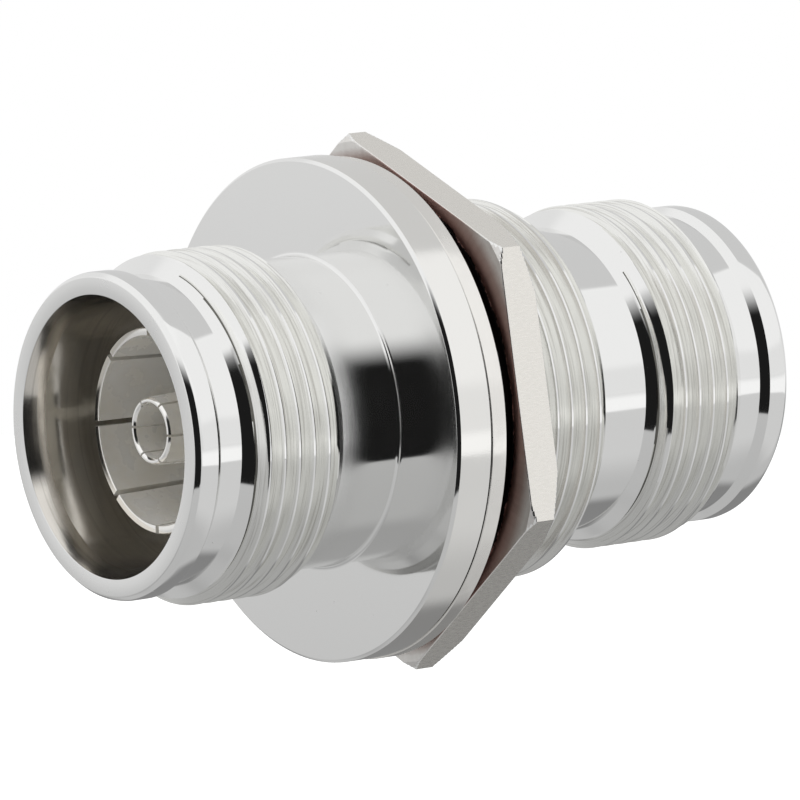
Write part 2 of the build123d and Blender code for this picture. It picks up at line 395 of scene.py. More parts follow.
@dataclass(frozen=True)
class Lathe:
    """Sockets that place a pattern on a turned piece, in millimetres."""

    place: bpy.types.NodeSocket
    along: bpy.types.NodeSocket
    radius: bpy.types.NodeSocket
    angle: bpy.types.NodeSocket

    @classmethod
    def on(cls, tree: bpy.types.NodeTree) -> "Lathe":
        """Add the nodes that turn Object coordinates into lathe coordinates.

        Args:
            tree: The material's node tree.

        Returns:
            The sockets.
        """
        place = add_node(tree, "ShaderNodeTexCoord")
        scaled = add_node(
            tree, "ShaderNodeMapping", {"Vector": place.outputs["Object"], "Scale": (1 / MM,) * 3},
        ).outputs["Vector"]
        axes = add_node(tree, "ShaderNodeSeparateXYZ", {"Vector": scaled})
        angle = add_node(
            tree, "ShaderNodeMath", {0: axes.outputs["X"], 1: axes.outputs["Z"]}, operation="ARCTAN2",
        )
        across = add_node(tree, "ShaderNodeVectorMath", {0: scaled, 1: (1, 0, 1)}, operation="MULTIPLY")
        radius = add_node(
            tree, "ShaderNodeVectorMath", {0: across.outputs["Vector"]}, operation="LENGTH",
        )
        return cls(scaled, axes.outputs["Y"], radius.outputs["Value"], angle.outputs["Value"])


def noise(
    tree: bpy.types.NodeTree, place: bpy.types.NodeSocket, scale: float, detail: float = 3.0,
    roughness: float = 0.6,
) -> bpy.types.NodeSocket:
    """Add a noise texture.

    Args:
        tree: The node tree.
        place: Where the noise is read.
        scale: Cells per unit of place.
        detail: Octaves.
        roughness: Share that each octave keeps.

    Returns:
        The noise's value, round 0.5.
    """
    node = add_node(
        tree, "ShaderNodeTexNoise",
        {"Vector": place, "Scale": scale, "Detail": detail, "Roughness": roughness},
    )
    return node.outputs["Fac"]


def stretch(
    tree: bpy.types.NodeTree, value: bpy.types.NodeSocket, source: Point, target: Point,
) -> bpy.types.NodeSocket:
    """Map one range of values onto another, with smooth ends.

    Args:
        tree: The node tree.
        value: The value that is mapped.
        source: Range of the value.
        target: Range of the result.

    Returns:
        The result.
    """
    node = add_node(
        tree, "ShaderNodeMapRange",
        {"Value": value, "From Min": source[0], "From Max": source[1],
         "To Min": target[0], "To Max": target[1]},
        interpolation_type="SMOOTHSTEP",
    )
    return node.outputs["Result"]


def combine(
    tree: bpy.types.NodeTree, operation: str, first: bpy.types.NodeSocket, second,
) -> bpy.types.NodeSocket:
    """Join two values by one Math node.

    Args:
        tree: The node tree.
        operation: Name of the Math node's operation.
        first: First value.
        second: Second value, a socket or a number.

    Returns:
        The result.
    """
    return add_node(tree, "ShaderNodeMath", {0: first, 1: second}, operation=operation).outputs["Value"]


def vector(tree: bpy.types.NodeTree, x=0.0, y=0.0, z=0.0) -> bpy.types.NodeSocket:
    """Build a vector from sockets or numbers."""
    return add_node(tree, "ShaderNodeCombineXYZ", {"X": x, "Y": y, "Z": z}).outputs["Vector"]


def add_bump(
    tree: bpy.types.NodeTree, height: bpy.types.NodeSocket, depth_mm: float,
    below: Optional[bpy.types.NodeSocket] = None, strength: float = 1.0,
) -> bpy.types.NodeSocket:
    """Raise a surface by a pattern, over the bumps that it already has.

    Args:
        tree: The material's node tree.
        height: The pattern.
        depth_mm: Height of the pattern in millimetres.
        below: Normal with the bumps that it already has.
        strength: Share of the bump that shows.

    Returns:
        The new normal.
    """
    feeds = {"Height": height, "Strength": strength, "Distance": depth_mm * MM}
    if below is not None:
        feeds["Normal"] = below
    return add_node(tree, "ShaderNodeBump", feeds).outputs["Normal"]


def add_surface(
    tree: bpy.types.NodeTree, colour: str, roughness, normal: bpy.types.NodeSocket,
    metallic: float = 0.0,
) -> bpy.types.NodeSocket:
    """Add a material's surface shader and its output.

    Args:
        tree: The material's node tree.
        colour: Base colour as an sRGB hex code.
        roughness: A socket or a number.
        normal: Normal with all bumps.
        metallic: 1 for a metal's mirror, 0 for none.

    Returns:
        The shader's base colour input.
    """
    shader = add_node(
        tree, "ShaderNodeBsdfPrincipled",
        {"Base Color": linear_colour(colour), "Metallic": metallic, "Roughness": roughness,
         "Normal": normal},
    )
    add_node(tree, "ShaderNodeOutputMaterial", {"Surface": shader.outputs["BSDF"]})
    return shader.inputs["Base Color"]


def add_ramp(
    tree: bpy.types.NodeTree, value: bpy.types.NodeSocket, ends: Point,
    stops: Sequence[tuple[float, tuple[float, float, float, float]]],
) -> bpy.types.NodeSocket:
    """Turn a value into a colour, in straight runs between stops.

    Args:
        tree: The node tree.
        value: The value.
        ends: Values at the ramp's two ends.
        stops: Value and colour of each stop, in order.

    Returns:
        The colour.
    """
    low, high = ends
    share = add_node(tree, "ShaderNodeMapRange", {"Value": value, "From Min": low, "From Max": high})
    ramp = add_node(tree, "ShaderNodeValToRGB", {"Fac": share.outputs["Result"]})
    elements = ramp.color_ramp.elements
    for index, (at, colour) in enumerate(stops):
        position = (at - low) / (high - low)
        stop = elements[index] if index < 2 else elements.new(position)
        stop.position = position
        stop.color = colour
    return ramp.outputs["Color"]


def new_material(name: str) -> bpy.types.Material:
    """Make a material with an empty node tree."""
    material = bpy.data.materials.new(name)
    material.use_nodes = True
    material.node_tree.nodes.clear()
    return material


@dataclass(frozen=True)
class Haze:
    """A dull stretch along the axis, in millimetres from the flange's rear face."""

    starts_at: float
    dull_until: float
    clear_at: float
    roughness: float
    cells_along: float = 2.0
    cells: float = 3.0

    def amount(self, tree: bpy.types.NodeTree, lathe: Lathe) -> bpy.types.NodeSocket:
        """Roughness that the haze adds, in faint streaks.

        Args:
            tree: The material's node tree.
            lathe: Where the pattern lies.

        Returns:
            The added roughness.
        """
        streak_place = vector(tree, combine(tree, "MULTIPLY", lathe.along, self.cells_along), lathe.angle)
        streaks = stretch(tree, noise(tree, streak_place, self.cells), NOISE_MIDDLE, (0.8, 1.0))
        streaky = combine(tree, "MULTIPLY", streaks, self.roughness)
        fades = stretch(tree, lathe.along, (self.dull_until, self.clear_at), (1.0, 0.0))
        begins = combine(tree, "GREATER_THAN", lathe.along, self.starts_at)
        return combine(tree, "MULTIPLY", combine(tree, "MULTIPLY", fades, begins), streaky)


@dataclass(frozen=True)
class TurnedMetal:
    """A metal surface left by a lathe tool and then plated.

    Rings follow the tool's feed, chatter lines run across them, and haze is a stretch along
    the axis where the tool left the surface dull. Tarnish colours it in clouds and streak
    along its rings. Dust is a number of cells per millimetre, some of which hold a speck.
    """

    name: str
    colour: str
    roughness: float
    roughness_spread: float = 0.03
    ring_mm: float = 0.12
    ring_depth_mm: float = 0.0003
    ring_wander: float = 0.35
    chatter_lines: float = 0.0
    chatter_depth_mm: float = 0.0
    cloud_mm: float = 3.0
    haze: Sequence[Haze] = ()
    dust: float = 0.0
    tarnish: str = ""
    tarnish_share: float = 0.0
    streak: str = ""
    streak_share: float = 0.0
    metallic: float = 1.0
    chatter_drift: float = 0.05
    specked_from: float = 0.8
    speck_reach: Point = (0.035, 0.06)
    speck_roughness: float = 0.7

    def build(self) -> bpy.types.Material:
        """Make the material.

        Returns:
            The Blender material.
        """
        material = new_material(self.name)
        tree = material.node_tree
        lathe = Lathe.on(tree)
        wander = combine(tree, "MULTIPLY", lathe.angle, self.ring_wander)
        ring_place = vector(tree, lathe.along, lathe.radius, wander)
        rings = noise(tree, ring_place, 1 / self.ring_mm)
        normal = add_bump(tree, rings, self.ring_depth_mm)
        if self.chatter_lines:
            slow_along = combine(tree, "MULTIPLY", lathe.along, self.chatter_drift)
            chatter = noise(tree, vector(tree, lathe.angle, slow_along), self.chatter_lines)
            normal = add_bump(tree, chatter, self.chatter_depth_mm, normal)
        clouds = noise(tree, lathe.place, 1 / self.cloud_mm, 4.0)
        low = max(LEAST_ROUGHNESS, self.roughness - self.roughness_spread)
        rough = stretch(tree, clouds, NOISE_MIDDLE, (low, self.roughness + self.roughness_spread))
        for haze in self.haze:
            rough = combine(tree, "ADD", rough, haze.amount(tree, lathe))
        if self.dust:
            rough = combine(tree, "ADD", rough, self.specks(tree, lathe))
        base = add_surface(tree, self.colour, rough, normal, self.metallic)
        below = linear_colour(self.colour)
        layers = ((self.tarnish, clouds, (0.35, 0.65), self.tarnish_share),
                  (self.streak, rings, (0.5, 0.66), self.streak_share))
        for colour, pattern, reach, most in layers:
            if not colour:
                continue
            share = stretch(tree, pattern, reach, (0.0, most))
            feeds = {"Factor": share, 6: below, 7: linear_colour(colour)}
            below = add_node(tree, "ShaderNodeMix", feeds, data_type="RGBA").outputs[2]
            tree.links.new(below, base)
        return material

    def specks(self, tree: bpy.types.NodeTree, lathe: Lathe) -> bpy.types.NodeSocket:
        """Roughness that dust adds: a round speck in some of the cells.

        Args:
            tree: The material's node tree.
            lathe: Where the pattern lies.

        Returns:
            The added roughness.
        """
        cells = add_node(tree, "ShaderNodeTexVoronoi", {"Vector": lathe.place, "Scale": self.dust})
        spread = add_node(tree, "ShaderNodeSeparateXYZ", {"Vector": cells.outputs["Color"]})
        chosen = combine(tree, "GREATER_THAN", spread.outputs["X"], self.specked_from)
        close = stretch(tree, cells.outputs["Distance"], self.speck_reach, (1.0, 0.0))
        speck = combine(tree, "MULTIPLY", chosen, close)
        return combine(tree, "MULTIPLY", speck, self.speck_roughness)


@dataclass(frozen=True)
class TumbledMetal:
    """A milled and tumbled metal surface: fine grain one way and small dents all over.

    A ramp over the radius replaces the base colour with a tint and painted shade: each stop is a
    radius in millimetres and its colour, and clouds and dents make the ramp's lines wavy.
    """

    name: str
    colour: str
    roughness: float
    grain_lines: float = 110.0
    grain_depth_mm: float = 0.014
    dent_mm: float = 0.16
    dent_depth_mm: float = 0.0007
    tint_and_shade: Sequence[tuple[float, str]] = ()
    smoother: float = 0.06
    rougher: float = 0.08
    cloud_cells: float = 0.8
    cloud_reach_mm: float = 0.06
    dent_reach_mm: float = 0.05

    def build(self) -> bpy.types.Material:
        """Make the material.

        Returns:
            The Blender material.
        """
        material = new_material(self.name)
        tree = material.node_tree
        lathe = Lathe.on(tree)
        slow_along = combine(tree, "MULTIPLY", lathe.along, 0.02)
        grain = noise(tree, vector(tree, lathe.angle, slow_along), self.grain_lines)
        dents = noise(tree, lathe.place, 1 / self.dent_mm, 3.0, 0.7)
        normal = add_bump(tree, grain, self.grain_depth_mm)
        normal = add_bump(tree, dents, self.dent_depth_mm, normal)
        spread = (self.roughness - self.smoother, self.roughness + self.rougher)
        rough = stretch(tree, grain, NOISE_MIDDLE, spread)
        base = add_surface(tree, self.colour, rough, normal, metallic=1.0)
        # The ramp paints shade: nearly black at the collar, lighter towards the corners
        if self.tint_and_shade:
            radius = lathe.radius
            clouds = noise(tree, lathe.place, self.cloud_cells, 5.0)
            for pattern, reach in ((clouds, self.cloud_reach_mm), (dents, self.dent_reach_mm)):
                radius = combine(tree, "ADD", radius, stretch(tree, pattern, NOISE_WHOLE, (-reach, reach)))
            stops = [(at, linear_colour(colour)) for at, colour in self.tint_and_shade]
            tree.links.new(add_ramp(tree, radius, (stops[0][0], stops[-1][0]), stops), base)
        return material


@dataclass(frozen=True)
class MouldedPolymer:
    """A matt polymer or rubber with a faint grain."""

    name: str
    colour: str
    roughness: float
    grain_mm: float = 0.1
    grain_depth_mm: float = 0.01
    grain_strength: float = 0.5

    def build(self) -> bpy.types.Material:
        """Make the material.

        Returns:
            The Blender material.
        """
        material = new_material(self.name)
        tree = material.node_tree
        place = add_node(tree, "ShaderNodeTexCoord")
        grain = noise(tree, place.outputs["Object"], 1 / (self.grain_mm * MM))
        normal = add_bump(tree, grain, self.grain_depth_mm, strength=self.grain_strength)
        add_surface(tree, self.colour, self.roughness, normal)
        return material


@dataclass(frozen=True)
class Layout:
    """Places and radii that several pieces share, in millimetres from the front end."""

    overall_length: float = 41.65
    flange_rear: float = 16.36
    thread_radius: float = 9.97
    neck_step: float = 1.13
    lip_step: float = 0.41
    neck_wall: float = 1.24
    bead_shelf: float = 1.4
    bead_overlap: float = 1.2
    rod_length: float = 7.65
    bead_length: float = 3.0
    panel_thread_step: float = 1.0
    flange_overhang: float = 3.42

    @property
    def neck_radius(self) -> float:
        """Radius of the plain necks and pilots."""
        return self.thread_radius - self.neck_step

    @property
    def bore_radius(self) -> float:
        """Radius of the bores behind the mouths."""
        return self.neck_radius - self.neck_wall

    @property
    def bead_radius(self) -> float:
        """Outer radius of the insulating beads."""
        return self.bore_radius - self.bead_shelf

    @property
    def line_radius(self) -> float:
        """Inner radius of the coaxial line and the outer contacts."""
        return self.bead_radius - self.bead_overlap

    @property
    def bead_rear(self) -> float:
        """Distance of a bead's inner face from its own end."""
        return (self.overall_length - self.rod_length) / 2

    @property
    def bore_floor(self) -> float:
        """Distance of a bore's floor from its own end."""
        return self.bead_rear - self.bead_length

    @property
    def panel_thread_radius(self) -> float:
        """Crest radius of the panel thread."""
        return self.thread_radius + self.panel_thread_step

    @property
    def flange_radius(self) -> float:
        """Outer radius of the flange."""
        return self.panel_thread_radius + self.flange_overhang

    def from_front(self, distance: float, radius: float) -> Point:
        """Outline point at a distance from the front end."""
        return (distance - self.flange_rear, radius)

    def from_rear(self, distance: float, radius: float) -> Point:
        """Outline point at a distance from the rear end."""
        return (self.overall_length - distance - self.flange_rear, radius)


Place = Callable[[float, float], Point]


@dataclass
class AdapterBody:
    """The turned body: two coupling ends, the flange and the panel thread."""

    layout: Layout
    finishes: Sequence[bpy.types.Material]
    thread: ThreadForm = field(default_factory=ThreadForm)
    edge: float = 0.035
    lip_edge_height: float = 0.27
    lip_edge_length: float = 0.5
    lip_chamfer: Point = (0.27, 0.05)
    lip_rounding: float = 0.12
    lip_end: float = 1.43
    lip_flank_end: float = 1.85
    lip_foot_radius: float = 0.06
    pilot_end: float = 3.27
    thread_start: float = 4.4
    thread_end: float = 9.05
    mouth_flare: float = 0.4
    lead_in: float = 1.27
    flange_front: float = 14.05
    flange_front_chamfer: float = 0.17
    flange_rear_chamfer: float = 0.08
    flange_fillet: float = 0.25
    rear_reach: float = 14.13
    panel_end_chamfer: float = 0.7
    undercut_depth: float = 0.72
    undercut_width: float = 1.0
    groove_inner: float = 11.66
    groove_width: float = 1.9
    groove_depth: float = 1.1
    front_crest_at: float = 5.17
    rear_crest_at: float = 33.295
    panel_crest_at: float = 24.345
    mark_margin: float = 0.02
    mouth_margin: float = 0.1

    def coupling_end(self, place: Place) -> list[Point]:
        """Outline of one end, from the foot of its thread round the lip to the bore's floor.

        Args:
            place: Turns a distance from this end and a radius into an outline point.

        Returns:
            The outline.
        """
        lay = self.layout
        lip = lay.neck_radius + lay.lip_step
        neck = lay.neck_radius
        flank = soften([
            place(self.pilot_end, neck),
            place(self.lip_flank_end, neck),
            place(self.lip_end, lip),
        ], self.lip_foot_radius, pieces=4)
        edge = soften([
            flank[-1],
            place(self.lip_edge_length, lip),
            place(self.lip_chamfer[0], lip - self.lip_chamfer[1]),
            place(0, lip - self.lip_edge_height),
            place(0, lay.bore_radius + self.mouth_flare),
        ], self.lip_rounding, pieces=5)
        return [
            *flank,
            *edge[1:],
            place(self.lead_in, lay.bore_radius),
            place(lay.bore_floor, lay.bore_radius),
        ]

    def neck_and_flange(self) -> list[Point]:
        """Outline from the front thread's foot over the flange to the undercut."""
        lay = self.layout
        place = lay.from_front
        neck = lay.neck_radius
        rim = lay.flange_radius
        corner = self.flange_front - self.flange_fillet
        fillet_middle = self.flange_fillet * (1 - math.sqrt(0.5))
        fillet = three_point_arc(
            place(corner, neck),
            place(self.flange_front - fillet_middle, neck + fillet_middle),
            place(self.flange_front, neck + self.flange_fillet), 5,
        )
        floor = lay.flange_rear - self.groove_depth
        undercut = lay.panel_thread_radius - self.undercut_depth
        return [
            place(self.thread_end + lay.neck_step, neck),
            *fillet,
            place(self.flange_front, rim - self.flange_front_chamfer),
            place(self.flange_front + self.flange_front_chamfer, rim),
            place(lay.flange_rear - self.flange_rear_chamfer, rim),
            place(lay.flange_rear, rim - self.flange_rear_chamfer),
            place(lay.flange_rear, self.groove_inner + self.groove_width),
            place(floor, self.groove_inner + self.groove_width),
            place(floor, self.groove_inner),
            place(lay.flange_rear, self.groove_inner),
            place(lay.flange_rear, undercut),
            place(lay.flange_rear + self.undercut_width, undercut),
        ]

    def build_mesh(self) -> bmesh.types.BMesh:
        """Turn the plain parts and cut the three threads.

        Returns:
            The body's mesh in millimetres.
        """
        lay = self.layout
        bm = bmesh.new()
        front = self.coupling_end(lay.from_front)
        rear = self.coupling_end(lay.from_rear)
        seat = [
            lay.from_front(lay.bore_floor, lay.bead_radius),
            lay.from_front(lay.bead_rear, lay.bead_radius),
            lay.from_front(lay.bead_rear, lay.line_radius),
            lay.from_rear(lay.bead_rear, lay.line_radius),
            lay.from_rear(lay.bead_rear, lay.bead_radius),
            lay.from_rear(lay.bore_floor, lay.bead_radius),
        ]
        turn_outline(bm, soften([*front, *seat, *reversed(rear)], self.edge))
        turn_outline(bm, soften(self.neck_and_flange(), self.edge))
        shoulder = lay.overall_length - self.rear_reach
        shoulder_radius = lay.panel_thread_radius - self.panel_end_chamfer
        rear_foot = self.thread_end + lay.neck_step
        turn_outline(bm, soften([
            lay.from_front(shoulder, shoulder_radius),
            lay.from_front(shoulder, lay.neck_radius),
            lay.from_rear(rear_foot, lay.neck_radius),
        ], self.edge))
        self.mark_surfaces(bm)
        ends = (
            (lay.from_front, self.front_crest_at),
            (lay.from_rear, self.rear_crest_at),
        )
        for place, crest_at in ends:
            blank = sorted([
                place(self.pilot_end, lay.neck_radius),
                place(self.thread_start, lay.thread_radius),
                place(self.thread_end, lay.thread_radius),
                place(rear_foot, lay.neck_radius),
            ])
            cut_thread(bm, self.thread, lay.thread_radius, crest_at - lay.flange_rear, blank)
        undercut_end = lay.flange_rear + self.undercut_width
        blank = [
            lay.from_front(undercut_end, lay.panel_thread_radius - self.undercut_depth),
            lay.from_front(undercut_end + self.undercut_depth, lay.panel_thread_radius),
            lay.from_front(shoulder - self.panel_end_chamfer, lay.panel_thread_radius),
            lay.from_front(shoulder, shoulder_radius),
        ]
        cut_thread(
            bm, self.thread, lay.panel_thread_radius, self.panel_crest_at - lay.flange_rear, blank,
        )
        return bm

    def mark_surfaces(self, bm: bmesh.types.BMesh) -> None:
        """Give the end faces, the bores and the flange's rim their own finish.

        Args:
            bm: The body's mesh before its threads are cut.
        """
        lay = self.layout
        for face in bm.faces:
            centre = face.calc_center_median()
            radius = math.hypot(centre.x, centre.z)
            from_front = centre.y + lay.flange_rear
            from_end = min(from_front, lay.overall_length - from_front)
            if from_end < self.mark_margin and radius > lay.bore_radius:
                face.material_index = Surface.FACE.value
            elif radius < lay.bore_radius + self.mouth_flare + self.mouth_margin:
                face.material_index = Surface.BORE.value
            elif radius > lay.flange_radius - self.mark_margin:
                face.material_index = Surface.RIM.value

    def dress(self) -> bpy.types.Object:
        """Build the body and give it its finishes."""
        return make_piece(
            self.build_mesh(), "turned_body", "adapter", ["body"], self.finishes,
        )


@dataclass
class EndPiece:
    """A piece that stands in one jack, measured from that jack's end."""

    layout: Layout
    place: Place
    name: str
    node: str
    finishes: Sequence[bpy.types.Material]


@dataclass
class OuterContact(EndPiece):
    """A slotted ring of spring fingers, pressed to the floor of a bore."""

    tip: float = 3.4
    tip_wall: float = 0.85
    waist_wall: float = 0.65
    tip_length: float = 1.5
    base_length: float = 2.5
    tip_chamfer: float = 0.08
    lead_in_height: float = 0.36
    root_fillet: float = 0.4
    fingers: int = 8
    slot_width: float = 0.34
    slot_stop: float = 1.0
    slot_angle: float = -4.0
    edge: float = 0.05
    root_overlap: float = 0.3
    finger_columns: int = 18

    def dress(self) -> bpy.types.Object:
        """Build the ring and its fingers."""
        lay = self.layout
        base = lay.bore_floor - self.base_length
        slot_end = base - self.slot_stop
        inner = lay.line_radius
        waist = inner + self.waist_wall
        tip = inner + self.tip_wall
        step = self.tip_wall - self.waist_wall
        bm = bmesh.new()
        ring = [
            self.place(lay.bore_floor, inner),
            self.place(slot_end, inner),
            self.place(slot_end, waist),
            self.place(base - self.root_fillet, waist),
            self.place(base, waist + self.root_fillet),
            self.place(base, lay.bore_radius),
            self.place(lay.bore_floor, lay.bore_radius),
        ]
        turn_outline(bm, soften(ring, self.edge, closed=True), closed=True)
        finger = [
            self.place(slot_end + self.root_overlap, inner),
            self.place(self.tip, inner + self.lead_in_height),
            self.place(self.tip, tip - self.tip_chamfer),
            self.place(self.tip + self.tip_chamfer, tip),
            self.place(self.tip + self.tip_length, tip),
            self.place(self.tip + self.tip_length + 2 * step, waist),
            self.place(slot_end + self.root_overlap, waist),
        ]
        cut_fingers(bm, soften(finger, self.edge, closed=True), self.fingers, self.slot_width,
                    math.radians(self.slot_angle), tip, self.finger_columns)
        mark_tips(bm, self.place(self.tip, tip)[0])
        return make_piece(bm, self.name, "adapter", [self.node], self.finishes)


def cut_fingers(
    bm: bmesh.types.BMesh,
    outline: Sequence[Point],
    count: int,
    slot_width: float,
    slot_angle: float,
    slot_radius: float,
    steps: int,
) -> None:
    """Make evenly spaced fingers, each a closed section turned between two slots.

    Args:
        bm: The mesh that gets the fingers.
        outline: A finger's closed section.
        count: How many fingers there are.
        slot_width: Width of a slot.
        slot_angle: Angle of the first slot's middle.
        slot_radius: Radius at which the slot has its width.
        steps: Columns in one finger.
    """
    share = TURN / count
    gap = slot_width / slot_radius
    for i in range(count):
        start = slot_angle + i * share + gap / 2
        faces = turn_outline(
            bm, outline, closed=True, start=start, sweep=share - gap, steps=steps,
        )
        rims = [e for f in faces for e in f.edges if e.is_boundary]
        bmesh.ops.holes_fill(bm, edges=list(set(rims)), sides=0)


def mark_tips(bm: bmesh.types.BMesh, tip_at: float, reach: float = 0.15) -> None:
    """Give the faces at the fingers' tips the second finish.

    Args:
        bm: The contact's mesh.
        tip_at: Place of the tips along the axis.
        reach: How far from the tips the finish goes.
    """
    for face in bm.faces:
        if abs(face.calc_center_median().y - tip_at) < reach:
            face.material_index = Surface.TIP.value


@dataclass
class CentreContact(EndPiece):
    """A centre contact: a six-slot socket, its bead seat and its spigot."""

    radius: float = 2.15
    bore: float = 1.53
    tip: float = 3.2
    tip_wall: float = 0.39
    bore_depth: float = 6.5
    tip_chamfer: float = 0.12
    fingers: int = 6
    slot_width: float = 0.12
    slot_angle: float = 30.0
    slot_end: float = 8.5
    bead_bore: float = 1.8
    spigot: float = 1.25
    spigot_length: float = 3.0
    drill_point: float = 0.9
    edge: float = 0.04
    root_overlap: float = 0.2
    pinhole: float = 0.02
    finger_columns: int = 14
    stem_columns: int = 72

    def dress(self) -> bpy.types.Object:
        """Build the contact's stem and its fingers."""
        lay = self.layout
        floor = self.tip + self.bore_depth
        end = lay.bead_rear + self.spigot_length
        bm = bmesh.new()
        stem = [
            self.place(floor + self.drill_point, self.pinhole),
            self.place(floor, self.bore),
            self.place(self.slot_end, self.bore),
            self.place(self.slot_end, self.radius),
            self.place(lay.bore_floor, self.radius),
            self.place(lay.bore_floor, self.bead_bore),
            self.place(lay.bead_rear, self.bead_bore),
            self.place(lay.bead_rear, self.spigot),
            self.place(end, self.spigot),
            self.place(end, self.pinhole),
        ]
        turn_outline(bm, soften(stem, self.edge, closed=True), closed=True, steps=self.stem_columns)
        outer_tip = self.bore + self.tip_wall
        finger = [
            self.place(self.slot_end + self.root_overlap, self.bore),
            self.place(self.tip + self.tip_chamfer, self.bore),
            self.place(self.tip, self.bore + self.tip_chamfer),
            self.place(self.tip, outer_tip - self.tip_chamfer),
            self.place(self.tip + self.tip_chamfer, outer_tip),
            self.place(self.slot_end, self.radius),
            self.place(self.slot_end + self.root_overlap, self.radius),
        ]
        cut_fingers(bm, soften(finger, self.edge, closed=True), self.fingers, self.slot_width,
                    math.radians(self.slot_angle), self.bore, self.finger_columns)
        mark_tips(bm, self.place(self.tip, self.bore)[0])
        return make_piece(bm, self.name, "adapter", [self.node], self.finishes)


@dataclass
class Bead(EndPiece):
    """A turned insulating bead."""

    bore: float = 1.8
    chamfer: float = 0.15
    edge: float = 0.05
    columns: int = 96

    def dress(self) -> bpy.types.Object:
        """Build the bead."""
        lay = self.layout
        outline = [
            self.place(lay.bore_floor, self.bore),
            self.place(lay.bore_floor, lay.bead_radius - self.chamfer),
            self.place(lay.bore_floor + self.chamfer, lay.bead_radius),
            self.place(lay.bead_rear - self.chamfer, lay.bead_radius),
            self.place(lay.bead_rear, lay.bead_radius - self.chamfer),
            self.place(lay.bead_rear, self.bore),
        ]
        bm = bmesh.new()
        turn_outline(bm, soften(outline, self.edge, closed=True), closed=True, steps=self.columns)
        return make_piece(bm, self.name, "adapter", [self.node], self.finishes)


@dataclass
class PanelWasher:
    """The flat washer behind the flange."""

    layout: Layout
    finishes: Sequence[bpy.types.Material]
    gap: float = 0.05
    thickness: float = 1.0
    under_flange: float = 0.08
    bore_play: float = 0.34
    hang: float = 0.12
    edge: float = 0.06

    def dress(self) -> bpy.types.Object:
        """Build the washer, hanging on the panel thread as in the photo."""
        lay = self.layout
        front = lay.flange_rear + self.gap
        rear = front + self.thickness
        outer = lay.flange_radius - self.under_flange / 2
        inner = lay.panel_thread_radius + self.bore_play / 2
        outline = [
            lay.from_front(front, inner),
            lay.from_front(front, outer),
            lay.from_front(rear, outer),
            lay.from_front(rear, inner),
        ]
        bm = bmesh.new()
        turn_outline(bm, soften(outline, self.edge, closed=True), closed=True)
        bmesh.ops.translate(bm, vec=(0, 0, -self.hang), verts=bm.verts)
        return make_piece(
            bm, "pressed_washer", "washer", ["flat_washer"], self.finishes,
        )


